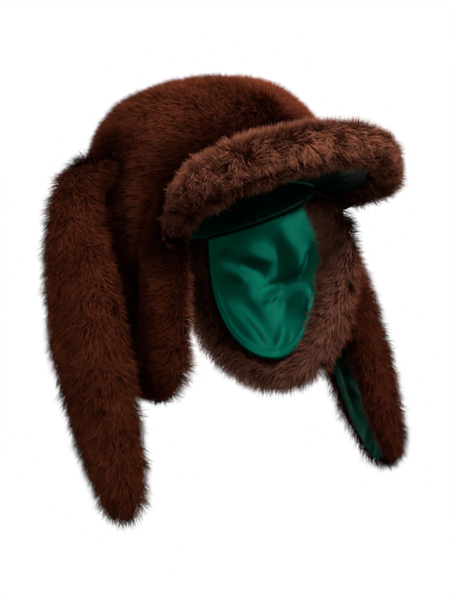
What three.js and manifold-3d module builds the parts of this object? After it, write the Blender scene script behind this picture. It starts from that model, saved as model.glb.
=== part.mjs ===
// A winter hat in deep brown fur, lined with green satin: a three-panel crown, a turned-up peak,
// two wide ear flaps that hang down, and two long ears that fall from the crown's sides.
//
// Millimetres, +Z up. The face looks along -Y and the wearer's right is -X. The origin is the middle
// of the head opening, at the height of the temples.
//
// Fur is a backing with leaning locks fused to it. Each cell of a fur surface is one lock, a
// four-sided point. Satin pieces are thin plates that lie in recesses of the fur.

import * as THREE from "three";
import { mergeVertices } from "three/addons/utils/BufferGeometryUtils.js";
import Module from "manifold-3d";

const wasm = await Module();
wasm.setup();

const vec = (x, y, z) => new THREE.Vector3(x, y, z);

// The head room, measured inside the satin
const headHalfWidth = 84;
const headHalfLength = 101;
const headHeight = 127;

// Layers
const satin = 2; // lining of the crown and the flaps
const thinSatin = 1.5; // facing of the peak and the ears
const gap = 0.3; // between pieces that touch
const layerGap = 1.3; // between two curved layers, whose flat faces don't line up
const plateGap = 0.6; // between a satin plate and the fur it lies on
const backing = 15; // fur up to the foot of its locks
const lock = 7; // height of a lock above that
const cutGap = 0.8; // left round a piece that is let into another

// The crown is a dome with square shoulders, cut off by a rim plane that rises towards the face
const planPower = 2.3;
const shoulderPower = 3.1;
const rimHeight = 25;
const rimRise = 0.27;
const panelHalfWidth = 45; // of the strip over the top, to its seams

const rimFront = vec(0, -1, rimRise).normalize();
const rimUp = vec(0, rimRise, 1).normalize();
const rimZ = (y) => rimHeight - rimRise * y;

const domeAt = (offset) => vec(headHalfWidth + offset, headHalfLength + offset, headHeight + offset);
const furInside = satin + layerGap;
const furOutside = furInside + backing;

// Small tools

const steps = (count) => Array.from({ length: count + 1 }, (_, i) => i / count);
const mix = (a, b, t) => a + (b - a) * t;
const signedPower = (x, power) => Math.sign(x) * Math.pow(Math.abs(x), power);

// A steady value from 0 to 1 for lock i, j, so that no two neighbours match
function vary(i, j) {
  const wave = Math.sin(i * 12.9898 + j * 78.233) * 43758.5453;
  return wave - Math.floor(wave);
}

// One column of a table of sections, read smoothly at place t from 0 to 1
function column(rows, name, t) {
  const last = rows.length - 1;
  const place = Math.min(Math.max(t, 0), 1) * last;
  const k = Math.min(Math.floor(place), last - 1);
  const at = (n) => rows[Math.min(Math.max(n, 0), last)][name];
  const [a, b, c, d] = [at(k - 1), at(k), at(k + 1), at(k + 2)];
  const f = place - k;
  const bend = f * (c - a) + f * f * (2 * a - 5 * b + 4 * c - d) + f ** 3 * (3 * b - a - 3 * c + d);
  return b + bend / 2;
}

// Where a ray from inside leaves the dome with these half sizes
function leaves(from, along, half) {
  const filled = (p) => {
    const plan = Math.abs(p.x / half.x) ** planPower + Math.abs(p.y / half.y) ** planPower;
    return plan ** (shoulderPower / planPower) + Math.abs(p.z / half.z) ** shoulderPower;
  };
  const way = along.clone().normalize();
  let [near, far] = [0, 400];
  for (let n = 0; n < 40; n++) {
    const middle = (near + far) / 2;
    if (filled(from.clone().addScaledVector(way, middle)) < 1) near = middle;
    else far = middle;
  }
  return from.clone().addScaledVector(way, near);
}

// Solids from sections

// Joins neighbouring sections, each a closed loop of points, into one closed geometry. A cell that
// locks() gives a height and a lean for becomes a lock. With wrap, the last section joins the first.
function loft(sections, { wrap = false, locks = () => null } = {}) {
  const around = sections[0].length;
  const spans = wrap ? sections.length : sections.length - 1;
  const corner = (i, j) => sections[i % sections.length][j % around];
  const cells = (visit) => {
    for (let i = 0; i < spans; i++)
      for (let j = 0; j < around; j++)
        visit([corner(i, j), corner(i, j + 1), corner(i + 1, j + 1), corner(i + 1, j)], i, j);
  };
  const ends = [];
  if (!wrap) {
    for (let j = 0; j < around / 2 - 1; j++) {
      for (const [i, turn] of [[0, 1], [spans, -1]]) {
        const four = [corner(i, j), corner(i, around - 1 - j), corner(i, around - 2 - j), corner(i, j + 1)];
        ends.push(turn > 0 ? four : four.reverse());
      }
    }
  }

  const plain = [];
  cells((four) => plain.push(...split(four)));
  ends.forEach((four) => plain.push(...split(four)));
  const facing = Math.sign(volume(plain));

  const faces = [];
  cells((four, i, j) => {
    const made = locks(i, j);
    faces.push(...(made ? point(four, made, facing, vary(i, j)) : split(four)));
  });
  ends.forEach((four) => faces.push(...split(four)));
  return closed(facing < 0 ? faces.map(([a, b, c]) => [a, c, b]) : faces);
}

const split = ([a, b, c, d]) => [[a, b, c], [a, c, d]].filter(real);
const real = ([a, b, c]) => a.distanceTo(b) > 0.01 && b.distanceTo(c) > 0.01 && c.distanceTo(a) > 0.01;
const volume = (faces) => faces.reduce((sum, [a, b, c]) => sum + a.dot(b.clone().cross(c)), 0);

// The four faces of one lock. Narrow cells get low locks.
function point(four, { height, lean }, facing, chance) {
  const [a, b, c, d] = four;
  const normal = c.clone().sub(a).cross(d.clone().sub(b)).multiplyScalar(facing);
  const size = Math.sqrt(normal.length());
  const most = Math.min(height, 0.42 * size) * (0.75 + 0.5 * chance);
  const tip = a.clone().add(b).add(c).add(d).multiplyScalar(0.25);
  tip.addScaledVector(normal.normalize(), most).addScaledVector(lean, 0.55 * most);
  return [[a, b, tip], [b, c, tip], [c, d, tip], [d, a, tip]].filter(real);
}

function closed(faces) {
  const numbers = faces.flat().flatMap((p) => [p.x, p.y, p.z]);
  const geometry = new THREE.BufferGeometry();
  geometry.setAttribute("position", new THREE.Float32BufferAttribute(numbers, 3));
  return mergeVertices(geometry, 1e-3);
}

// Cuts with manifold-3d

function solidOf(geometry) {
  return new wasm.Manifold(
    new wasm.Mesh({
      numProp: 3,
      vertProperties: geometry.attributes.position.array,
      triVerts: new Uint32Array(geometry.index.array),
    }),
  );
}

function geometryOf(solid) {
  const mesh = solid.getMesh();
  const geometry = new THREE.BufferGeometry();
  geometry.setAttribute("position", new THREE.BufferAttribute(mesh.vertProperties, 3));
  geometry.setIndex(new THREE.BufferAttribute(mesh.triVerts, 1));
  return geometry;
}

// A copy of a closed geometry with its surface moved outwards
function grown(geometry, by) {
  const copy = geometry.clone();
  copy.computeVertexNormals();
  const { position, normal } = copy.attributes;
  for (let i = 0; i < position.count; i++) {
    const moved = vec(0, 0, 0).fromBufferAttribute(position, i);
    moved.addScaledVector(vec(0, 0, 0).fromBufferAttribute(normal, i), by);
    position.setXYZ(i, moved.x, moved.y, moved.z);
  }
  return copy;
}

// The largest body that is left of a piece once its neighbours, with a gap round them, are let into it
function letInto(geometry, ...neighbours) {
  let solid = solidOf(geometry);
  for (const other of neighbours) {
    for (const by of [0, cutGap / 2, cutGap]) solid = solid.subtract(solidOf(grown(other, by)));
  }
  const bodies = solid.decompose().sort((a, b) => b.volume() - a.volume());
  return geometryOf(bodies[0]);
}

// Crown

const down = vec(0, 0, -1);
const overTop = (turn) =>
  rimFront.clone().multiplyScalar(Math.cos(turn)).addScaledVector(rimUp, Math.sin(turn));

// A point of the dome in the plane x = across, at an angle over the top from front rim to back rim
function onStrip(across, turn, offset) {
  return leaves(vec(across, 0, rimHeight + gap / 2), overTop(turn), domeAt(offset));
}

function crownCentre() {
  const stations = 24;
  const cellsAcross = 6;
  const half = panelHalfWidth - gap / 2;
  const across = steps(cellsAcross).map((f) => mix(-half, half, f));
  const sections = steps(stations).map((f) => {
    const turn = f * Math.PI;
    const inside = across.map((x) => onStrip(x, turn, furInside));
    const outside = across.map((x) => onStrip(x, turn, furOutside - seamDip(Math.abs(x) / half)));
    return [...inside, ...outside.reverse()];
  });
  const isFur = (j) => j > cellsAcross && j < 2 * cellsAcross + 1;
  const lean = (i) => vec(0, i < stations / 2 ? -0.5 : 0.5, -0.6);
  return loft(sections, { locks: (i, j) => (isFur(j) ? { height: lock, lean: lean(i) } : null) });
}

// How much lower the fur lies beside a seam, at 0 in the middle of a panel and 1 at its seam
function seamDip(nearness) {
  const dip = 6;
  return dip * nearness ** 6;
}

function crownSide(side) {
  const rays = 20;
  const rings = 7;
  const middle = vec(0, 0, rimHeight + gap / 2);
  const seam = side * (panelHalfWidth + gap / 2);
  const lowest = vec(side, 0, 0);
  const towards = (turn, f, offset, edge) => {
    const half = domeAt(offset);
    const start = leaves(middle, lowest, half).sub(middle);
    const end = onStrip(seam, turn, edge).sub(middle);
    const along = start.lerp(end, f);
    return f === 1 ? middle.clone().add(along) : leaves(middle, along, half);
  };
  const sections = steps(rays).map((r) => {
    const turn = r * Math.PI;
    const inside = steps(rings).map((f) => towards(turn, f, furInside, furInside));
    const outside = steps(rings).map((f) => towards(turn, f, furOutside, furOutside - seamDip(1)));
    return [...inside, ...outside.reverse()];
  });
  const isFur = (j) => j > rings && j < 2 * rings + 1;
  return loft(sections, {
    locks: (i, j) => (isFur(j) ? { height: lock, lean: vec(side * 0.2, 0, -0.8) } : null),
  });
}

function crownLining() {
  const meridians = 36;
  const levels = 8;
  const middle = vec(0, 0, rimHeight + gap / 2);
  const rimBack = rimFront.clone().negate();
  const sections = steps(meridians).slice(0, -1).map((f) => {
    const turn = f * 2 * Math.PI;
    const out = rimBack.clone().multiplyScalar(Math.cos(turn)).addScaledVector(vec(1, 0, 0), Math.sin(turn));
    const sheet = (offset) =>
      steps(levels).map((g) => {
        const rise = (g * Math.PI) / 2;
        const along = out.clone().multiplyScalar(Math.cos(rise)).addScaledVector(rimUp, Math.sin(rise));
        return leaves(middle, g === 1 ? rimUp : along, domeAt(offset));
      });
    return [...sheet(0), ...sheet(satin).reverse()];
  });
  return loft(sections, { wrap: true });
}

// Ear flaps

// A flap hangs from the rim plane. Its satin panel is a U, and fur frames the panel and covers the
// outside. Behind the ear a flap follows the head. In front of it the flap leaves the crown's curve,
// a little below the rim, and goes straight on and outwards.
const flap = {
  middle: 14, // mm behind the ear, round the head
  turnRadius: 92.6, // mm of width for each radian round the head
  panelHalfWidth: 68,
  panelBottom: -113,
  frame: 31, // width of the fur frame round the panel
  frontFrame: 45, // its width along the front edge
  uPower: 2.4,
  flare: 0.16,
  flareStart: 0.28, // share of the height over which the flare comes in
  splay: 0.04,
  thickness: 17,
  lock: 6,
};

// How far the lower end hangs towards the face, how much higher that brings it, how much wider the front
// frame is at the rim, and the share of the height where that ends
const flapHang = {
  right: { sway: 56, lift: 7, corner: -11, cornerEnd: 0.9 },
  left: { sway: 0, lift: 0, corner: 4, cornerEnd: 0.45 },
};
const hangPower = 2; // above 1, the sway comes in towards the end

// The flap point at a place round the U (0 at the front rim, 1 at the back rim), a share of the way
// out from the middle of the rim, a share of the frame's width, and a height over the satin's inner face
function onFlap(side, around, out, framed, height) {
  const angle = around * Math.PI;
  const hang = side < 0 ? flapHang.right : flapHang.left;
  const bottom = flap.panelBottom - flap.frame * framed + hang.lift;
  const low = out * Math.abs(Math.sin(angle)) ** (2 / flap.uPower);
  const corner = hang.corner * (1 - THREE.MathUtils.smoothstep(low, 0, hang.cornerEnd));
  const frame = angle < Math.PI / 2 ? flap.frontFrame + corner : flap.frame;
  const halfWidth = flap.panelHalfWidth + frame * framed;
  const middle = flap.middle - hang.sway * low ** hangPower;
  const across = middle - out * halfWidth * signedPower(Math.cos(angle), 2 / flap.uPower);
  const spread = height + flap.splay * low * -flap.panelBottom;
  const round = alongHead(across / flap.turnRadius, spread);
  const straight = vec(headHalfWidth + spread - flap.flare * across, across, 0);
  const flared = across < 0 ? THREE.MathUtils.smoothstep(low, 0, flap.flareStart) : 0;
  const { x, y } = round.lerp(straight, flared);
  return vec(side * x, y, mix(rimZ(y), bottom, low) - 2 * gap);
}

// A point of the head's plan on the left side, so far outside the satin
function alongHead(turn, spread) {
  const plan =
    Math.abs(Math.cos(turn) / (headHalfWidth + spread)) ** planPower +
    Math.abs(Math.sin(turn) / (headHalfLength + spread)) ** planPower;
  const radius = plan ** (-1 / planPower);
  return vec(radius * Math.cos(turn), radius * Math.sin(turn), 0);
}

// One ray of a flap's fur, from the satin's floor out over the frame and back along the outside.
// out: share of the panel; framed: share of the frame; height: over the satin's inner face
const flapProfile = [
  { out: 0, framed: 0, height: furInside },
  { out: 0.5, framed: 0, height: furInside },
  { out: 1, framed: 0, height: furInside },
  { out: 1, framed: 0.14, height: -5 },
  { out: 1, framed: 0.45, height: -9 },
  { out: 1, framed: 0.72, height: -4 },
  { out: 1, framed: 0.82, height: 6 },
  { out: 1, framed: 0.66, height: 15 },
  { out: 1, framed: 0.3, height: furInside + flap.thickness },
  { out: 0.8, framed: 0, height: furInside + flap.thickness },
  { out: 0.4, framed: 0, height: furInside + flap.thickness },
  { out: 0, framed: 0, height: furInside + flap.thickness },
];

function flapFur(side) {
  const rays = 18;
  const sections = steps(rays).map((f) =>
    flapProfile.map((p) => onFlap(side, f, p.out, p.framed, p.height)),
  );
  const isFur = (j) => j >= 3 && j < flapProfile.length - 1;
  return loft(sections, { locks: (i, j) => (isFur(j) ? { height: flap.lock, lean: down } : null) });
}

function flapLining(side) {
  const rays = 18;
  const rings = [0, 0.5, 1 - gap / flap.panelHalfWidth];
  const sections = steps(rays).map((f) => {
    const sheet = (height) => rings.map((out) => onFlap(side, f, out, 0, height));
    return [...sheet(0), ...sheet(satin).reverse()];
  });
  return loft(sections);
}

// Long ears

// Centre line and half sizes of an ear with its fur, from its root inside the crown's fur to its tip
const earRows = [
  { out: 88, back: 18, up: 67, wide: 21, thick: 20 },
  { out: 108, back: 16, up: 65, wide: 23, thick: 22 },
  { out: 130, back: 16, up: 53, wide: 25, thick: 25 },
  { out: 143, back: 10, up: 26, wide: 28, thick: 27 },
  { out: 149, back: -1, up: -10, wide: 36, thick: 28 },
  { out: 153, back: -15, up: -48, wide: 44, thick: 28 },
  { out: 155, back: -28, up: -88, wide: 45, thick: 28 },
  { out: 155, back: -44, up: -128, wide: 44, thick: 27 },
  { out: 155, back: -60, up: -168, wide: 38, thick: 25 },
  { out: 156, back: -73, up: -197, wide: 31, thick: 22 },
  { out: 156, back: -80, up: -216, wide: 23, thick: 17 },
  { out: 156, back: -83, up: -226, wide: 12, thick: 10 },
];
const earLift = { right: 4, left: 16 }; // how much higher the end hangs
const bendPower = 3; // above 1, the lift comes in towards the end
const earLock = 6;
const earStations = 22;
const plainRoot = 3; // stations without locks, where the crown's fur closes round the root

// The ear's section as shares of its half sizes. across: + is the back edge; off: + is the outer face.
// The first three points are the floor that the satin lies on.
const earProfile = [
  { across: 0.56, off: -0.55 },
  { across: 0.2, off: -0.6 },
  { across: -0.16, off: -0.55 },
  { across: -0.4, off: -0.98 },
  { across: -0.72, off: -0.9 },
  { across: -0.95, off: -0.42 },
  { across: -1, off: 0.12 },
  { across: -0.84, off: 0.64 },
  { across: -0.45, off: 0.94 },
  { across: 0, off: 1 },
  { across: 0.45, off: 0.94 },
  { across: 0.84, off: 0.64 },
  { across: 1, off: 0.12 },
  { across: 0.86, off: -0.82 },
];

// The middle, directions and half sizes of an ear at place t along it
function earAt(side, t) {
  const lift = side < 0 ? earLift.right : earLift.left;
  const middleAt = (s) => {
    const up = column(earRows, "up", s) + lift * s ** bendPower;
    return vec(side * column(earRows, "out", s), column(earRows, "back", s), up);
  };
  const along = middleAt(Math.min(t + 0.01, 1)).sub(middleAt(Math.max(t - 0.01, 0))).normalize();
  const across = vec(0, 1, 0).addScaledVector(along, -along.y).normalize();
  const off = along.clone().cross(across).multiplyScalar(side);
  return {
    middle: middleAt(t),
    along,
    across,
    off,
    wide: column(earRows, "wide", t) - earLock,
    thick: column(earRows, "thick", t) - earLock,
  };
}

// A point of the ear's section
function onEar(ear, across, off) {
  const point = ear.middle.clone().addScaledVector(ear.across, across * ear.wide);
  return point.addScaledVector(ear.off, off * ear.thick);
}

function earFur(side) {
  const sections = steps(earStations).map((t) => {
    const ear = earAt(side, t);
    return earProfile.map((p) => onEar(ear, p.across, p.off));
  });
  const isFur = (i, j) => i >= plainRoot && j >= 3;
  const lean = (i) => earAt(side, (i + 0.5) / earStations).along;
  return loft(sections, {
    locks: (i, j) => (isFur(i, j) ? { height: earLock, lean: lean(i) } : null),
  });
}

function earLining(side) {
  const [first, last] = [7, 20]; // stations
  const inset = 0.03;
  const floor = earProfile.slice(0, 3);
  const across = [floor[0].across - inset, floor[1].across, floor[2].across + inset];
  const sections = [];
  for (let i = first; i <= last; i++) {
    const ear = earAt(side, i / earStations);
    const sheet = (height) => across.map((a, n) => onEar(ear, a, floor[n].off - height / ear.thick));
    sections.push([...sheet(plateGap), ...sheet(plateGap + thinSatin).reverse()]);
  }
  return loft(sections);
}

// Peak

// turn: degrees from the middle of the brow, + towards the wearer's left; reach: from the crown to the
// edge of the cloth; edge: height of that edge; roll: share of full size of the fur roll on it
const peakRows = [
  { turn: -57, reach: 20, edge: 18, roll: 0.7 },
  { turn: -52, reach: 33, edge: 24, roll: 1.05 },
  { turn: -45, reach: 46, edge: 37, roll: 1.2 },
  { turn: -35, reach: 58, edge: 53, roll: 1.12 },
  { turn: -18, reach: 66, edge: 69, roll: 1.05 },
  { turn: 0, reach: 68, edge: 76, roll: 1 },
  { turn: 17, reach: 60, edge: 71, roll: 1 },
  { turn: 33, reach: 49, edge: 58, roll: 1 },
  { turn: 46, reach: 34, edge: 48, roll: 1 },
  { turn: 56, reach: 18, edge: 42, roll: 0.75 },
];
const peakLock = 6;
const peakStations = 20;
const peakFace = -2; // the underside that the satin lies on, from the line between root and edge

// The peak's section. reach: share of the way to the edge; past and rise: mm at full roll
const peakProfile = [
  { reach: 0, past: 0, rise: peakFace },
  { reach: 0.5, past: 0, rise: peakFace },
  { reach: 1, past: -9, rise: peakFace },
  { reach: 1, past: -7, rise: -12 },
  { reach: 1, past: 4, rise: -18 },
  { reach: 1, past: 16, rise: -14 },
  { reach: 1, past: 21, rise: 0 },
  { reach: 1, past: 15, rise: 15 },
  { reach: 1, past: 2, rise: 22 },
  { reach: 0.66, past: 0, rise: 22 },
  { reach: 0.33, past: 0, rise: 20 },
  { reach: 0, past: 0, rise: 18 },
];

// The peak's root, its way out and its upward normal at place t from the right end to the left end
function peakAt(t) {
  const turn = THREE.MathUtils.degToRad(column(peakRows, "turn", t));
  const out = vec(Math.sin(turn), -Math.cos(turn), 0);
  const root = leaves(vec(0, 0, 0), out, domeAt(furInside + gap));
  root.z = rimZ(root.y) - peakFace + gap;
  const reach = column(peakRows, "reach", t);
  const slope = Math.atan2(column(peakRows, "edge", t) - root.z, reach);
  return {
    root,
    way: out.clone().multiplyScalar(Math.cos(slope)).setZ(Math.sin(slope)),
    normal: out.clone().multiplyScalar(-Math.sin(slope)).setZ(Math.cos(slope)),
    reach: reach / Math.cos(slope),
    roll: column(peakRows, "roll", t),
  };
}

function onPeak(at, { reach, past, rise }) {
  const far = reach * at.reach + past * at.roll;
  const high = rise === peakFace ? rise : rise * at.roll;
  return at.root.clone().addScaledVector(at.way, far).addScaledVector(at.normal, high);
}

function peakFur() {
  const sections = steps(peakStations).map((f) => peakProfile.map((p) => onPeak(peakAt(f), p)));
  const isFur = (j) => j >= 3 && j < peakProfile.length - 1;
  const lean = (i) => peakAt((i + 0.5) / peakStations).way;
  return loft(sections, { locks: (i, j) => (isFur(j) ? { height: peakLock, lean: lean(i) } : null) });
}

function peakFacing() {
  const sections = [];
  for (let i = 1; i < peakStations; i++) {
    const at = peakAt(i / peakStations);
    const reach = [0.02 * at.reach, 0.5 * at.reach, at.reach - 10 * at.roll];
    const sheet = (rise) =>
      reach.map((far) => at.root.clone().addScaledVector(at.way, far).addScaledVector(at.normal, rise));
    sections.push([...sheet(peakFace - plateGap), ...sheet(peakFace - plateGap - thinSatin).reverse()]);
  }
  return loft(sections);
}

// Materials

const fur = new THREE.MeshStandardMaterial({ color: 0x43241a, roughness: 0.9, metalness: 0 });
const greenSatin = new THREE.MeshStandardMaterial({ color: 0x045a43, roughness: 0.35, metalness: 0 });

// Assembly

const hat = new THREE.Group();
function place(name, geometry, material) {
  geometry.computeVertexNormals();
  const mesh = new THREE.Mesh(geometry, material);
  mesh.name = name;
  hat.add(mesh);
}

const peak = peakFur();
const facing = peakFacing();
place("crown_lining", crownLining(), greenSatin);
place("crown_centre", letInto(crownCentre(), peak, facing), fur);
place("peak_fur", peak, fur);
place("peak_facing", facing, greenSatin);
for (const [name, side] of [["right", -1], ["left", 1]]) {
  const ear = earFur(side);
  place(`crown_side_${name}`, letInto(crownSide(side), peak, facing, ear), fur);
  place(`flap_fur_${name}`, letInto(flapFur(side), peak, facing), fur);
  place(`flap_lining_${name}`, letInto(flapLining(side), peak, facing), greenSatin);
  place(`ear_fur_${name}`, ear, fur);
  place(`ear_lining_${name}`, earLining(side), greenSatin);
}

export default hat;
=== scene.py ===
import math
import bmesh
import bpy
import numpy as np
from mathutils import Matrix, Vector
from mathutils.bvhtree import BVHTree


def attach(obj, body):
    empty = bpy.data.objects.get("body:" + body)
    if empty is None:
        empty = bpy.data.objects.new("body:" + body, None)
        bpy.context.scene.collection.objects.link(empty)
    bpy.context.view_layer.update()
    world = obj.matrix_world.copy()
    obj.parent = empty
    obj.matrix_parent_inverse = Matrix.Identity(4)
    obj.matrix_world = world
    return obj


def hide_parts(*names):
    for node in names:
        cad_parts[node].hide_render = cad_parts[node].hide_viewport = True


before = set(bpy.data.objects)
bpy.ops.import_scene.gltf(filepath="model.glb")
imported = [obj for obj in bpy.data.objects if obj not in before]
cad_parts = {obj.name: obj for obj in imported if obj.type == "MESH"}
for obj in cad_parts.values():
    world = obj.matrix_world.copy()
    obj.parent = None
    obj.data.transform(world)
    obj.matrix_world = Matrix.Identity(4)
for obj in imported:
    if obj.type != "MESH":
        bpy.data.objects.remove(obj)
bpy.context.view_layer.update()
print("frame loaded:", len(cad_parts), "pieces")

# Small tools


def linked(name, mesh):
    obj = bpy.data.objects.new(name, mesh)
    bpy.context.scene.collection.objects.link(obj)
    return obj


def meshOf(bm, name):
    mesh = bpy.data.meshes.new(name)
    bm.to_mesh(mesh)
    bm.free()
    return mesh


def unit(vectors):
    return vectors / np.maximum(np.linalg.norm(vectors, axis=-1, keepdims=True), 1e-9)


def smoothStep(low, high, value):
    t = np.clip((value - low) / (high - low), 0, 1)
    return t * t * (3 - 2 * t)


def mix(a, b, t):
    return a + (b - a) * t


def column(rows, name, t):  # one column of a table, read smoothly at place t from 0 to 1
    last = len(rows) - 1
    place = min(max(t, 0), 1) * last
    k = min(int(place), last - 1)
    a, b, c, d = (rows[min(max(n, 0), last)][name] for n in (k - 1, k, k + 1, k + 2))
    f = place - k
    return b + (f * (c - a) + f * f * (2 * a - 5 * b + 4 * c - d) + f**3 * (3 * b - a - 3 * c + d)) / 2


def placed(nodes, kind, **values):
    node = nodes.new(kind)
    for name, value in values.items():
        setattr(node, name, value)
    return node


def setInputs(node, values):
    for name, value in values.items():
        node.inputs[name].default_value = value


def newMaterial(name):
    mat = bpy.data.materials.new(name)
    mat.use_nodes = True
    return mat, mat.node_tree.nodes, mat.node_tree.links, mat.node_tree.nodes["Principled BSDF"]


def newGroup(name, inputs, outputs):
    group = bpy.data.node_groups.new(name, "ShaderNodeTree")
    for way, sockets in (("INPUT", inputs), ("OUTPUT", outputs)):
        for socket, kind in sockets.items():
            group.interface.new_socket(name=socket, in_out=way, socket_type="NodeSocket" + kind)
    nodes = group.nodes
    return group, nodes, group.links, nodes.new("NodeGroupInput"), nodes.new("NodeGroupOutput")


def calculated(nodes, links, operation, *values):
    node = placed(nodes, "ShaderNodeMath", operation=operation)
    for socket, value in zip(node.inputs, values):
        if isinstance(value, (int, float)):
            socket.default_value = value
        else:
            links.new(value, socket)
    return node.outputs[0]


def ranged(nodes, links, value, low, high, toLow=0.0, toHigh=1.0):
    node = placed(nodes, "ShaderNodeMapRange", interpolation_type="SMOOTHSTEP")
    setInputs(node, {"From Min": low, "From Max": high, "To Min": toLow, "To Max": toHigh})
    links.new(value, node.inputs["Value"])
    return node.outputs["Result"]


def blended(nodes, links, factor, first, second):
    node = placed(nodes, "ShaderNodeMix", data_type="RGBA")
    links.new(factor, node.inputs["Factor"])
    for name, value in (("A", first), ("B", second)):
        links.new(value, [s for s in node.inputs if s.name == name and s.type == "RGBA"][0])
    return [s for s in node.outputs if s.type == "RGBA"][0]


def noiseOf(nodes, links, place, scale, detail):
    noise = nodes.new("ShaderNodeTexNoise")
    setInputs(noise, {"Scale": scale, "Detail": detail})
    links.new(place, noise.inputs["Vector"])
    return noise.outputs["Fac"]


def ramped(nodes, links, value, stops, colours):
    ramp = nodes.new("ShaderNodeValToRGB")
    for element, position, colour in zip(ramp.color_ramp.elements, stops, colours):
        element.position = position
        element.color = (*colour, 1)
    links.new(value, ramp.inputs["Fac"])
    return ramp.outputs["Color"]


def bumped(nodes, links, height, strength, distance):
    bump = nodes.new("ShaderNodeBump")
    setInputs(bump, {"Strength": strength, "Distance": distance})
    links.new(height, bump.inputs["Height"])
    return bump.outputs["Normal"]


# Camera and light

camera = {
    "lookAt": (0.0047, -0.0163, -0.052),
    "azimuth": -41,  # degrees from the face's side; minus is round to the wearer's right
    "elevation": 2.5,
    "distance": 1.2,
    "lens": 79,
    "sensor": 36,
}

studio = {
    # brightness of the room by height: 0 straight below, 0.5 at the horizon, 1 straight above
    "room": [(0.20, 0.40), (0.50, 0.30), (0.75, 0.45)],
    # a white sweep round the side behind the hat; across and high: shares where it fades out
    "backdrop": {"azimuth": 139, "across": (-0.35, 0.1), "high": (0.62, 0.30)},
    "lamps": [  # azimuth and elevation as the camera's; power in watts, size and distance in metres
        {"name": "key", "azimuth": -6, "elevation": 40, "distance": 1.5, "size": 0.45, "power": 38},
        {"name": "top", "azimuth": -20, "elevation": 76, "distance": 1.5, "size": 0.6, "power": 14},
        {"name": "side", "azimuth": -104, "elevation": 24, "distance": 1.5, "size": 0.7, "power": 13},
    ],
}


def awayFrom(azimuth, elevation):
    turn, rise = math.radians(azimuth), math.radians(elevation)
    return Vector((math.sin(turn) * math.cos(rise), -math.cos(turn) * math.cos(rise), math.sin(rise)))


def aimed(name, data, place, away):
    obj = bpy.data.objects.new(name, data)
    bpy.context.scene.collection.objects.link(obj)
    obj.location = place
    obj.rotation_euler = (-away).to_track_quat("-Z", "Y").to_euler()
    return obj


def makeCamera():
    data = bpy.data.cameras.new("camera")
    data.lens = camera["lens"]
    data.sensor_width = camera["sensor"]
    away = awayFrom(camera["azimuth"], camera["elevation"])
    place = Vector(camera["lookAt"]) + camera["distance"] * away
    bpy.context.scene.camera = aimed("camera", data, place, away)
    bpy.context.scene.view_settings.view_transform = "Standard"


def makeLamps():
    for lamp in studio["lamps"]:
        data = bpy.data.lights.new(lamp["name"], "AREA")
        data.energy = lamp["power"]
        data.size = lamp["size"]
        away = awayFrom(lamp["azimuth"], lamp["elevation"])
        aimed(lamp["name"], data, lamp["distance"] * away, away)


def makeRoom():
    sky = bpy.data.worlds.new("studio")
    sky.use_nodes = True
    nodes, links = sky.node_tree.nodes, sky.node_tree.links
    way, parts = nodes.new("ShaderNodeTexCoord"), nodes.new("ShaderNodeSeparateXYZ")
    links.new(way.outputs["Generated"], parts.inputs["Vector"])
    height = calculated(nodes, links, "MULTIPLY_ADD", parts.outputs["Z"], 0.5, 0.5)
    room, white = nodes.new("ShaderNodeValToRGB"), nodes.new("ShaderNodeRGB")
    white.outputs[0].default_value = (1, 1, 1, 1)
    stops = room.color_ramp.elements
    for n, (position, brightness) in enumerate(studio["room"]):
        stop = stops[n] if n < 2 else stops.new(position)  # a new ramp has two stops
        stop.position = position
        stop.color = (brightness, brightness, brightness, 1)
    links.new(height, room.inputs["Fac"])
    drop = studio["backdrop"]
    towards = placed(nodes, "ShaderNodeVectorMath", operation="DOT_PRODUCT")
    towards.inputs[1].default_value = awayFrom(drop["azimuth"], 0)
    links.new(way.outputs["Generated"], towards.inputs[0])
    behind = ranged(nodes, links, towards.outputs["Value"], *drop["across"])
    level = calculated(nodes, links, "ABSOLUTE", parts.outputs["Z"])
    share = calculated(nodes, links, "MULTIPLY", behind, ranged(nodes, links, level, *drop["high"]))
    both = blended(nodes, links, share, room.outputs["Color"], white.outputs[0])
    links.new(both, nodes["Background"].inputs["Color"])
    bpy.context.scene.world = sky


makeCamera()
makeLamps()
makeRoom()
print("camera and light ready")

# Materials

strandLook = {
    "middleFrom": (0.1, 0.6),  # shares of the length where the root's colour turns into the middle's
    "tipFrom": (0.5, 1.0),  # and where the middle's turns into the tip's
    "roughness": (0.8, 0.5),  # at the root and at the tip
    "patchStops": (0.3, 0.7),
}


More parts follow.
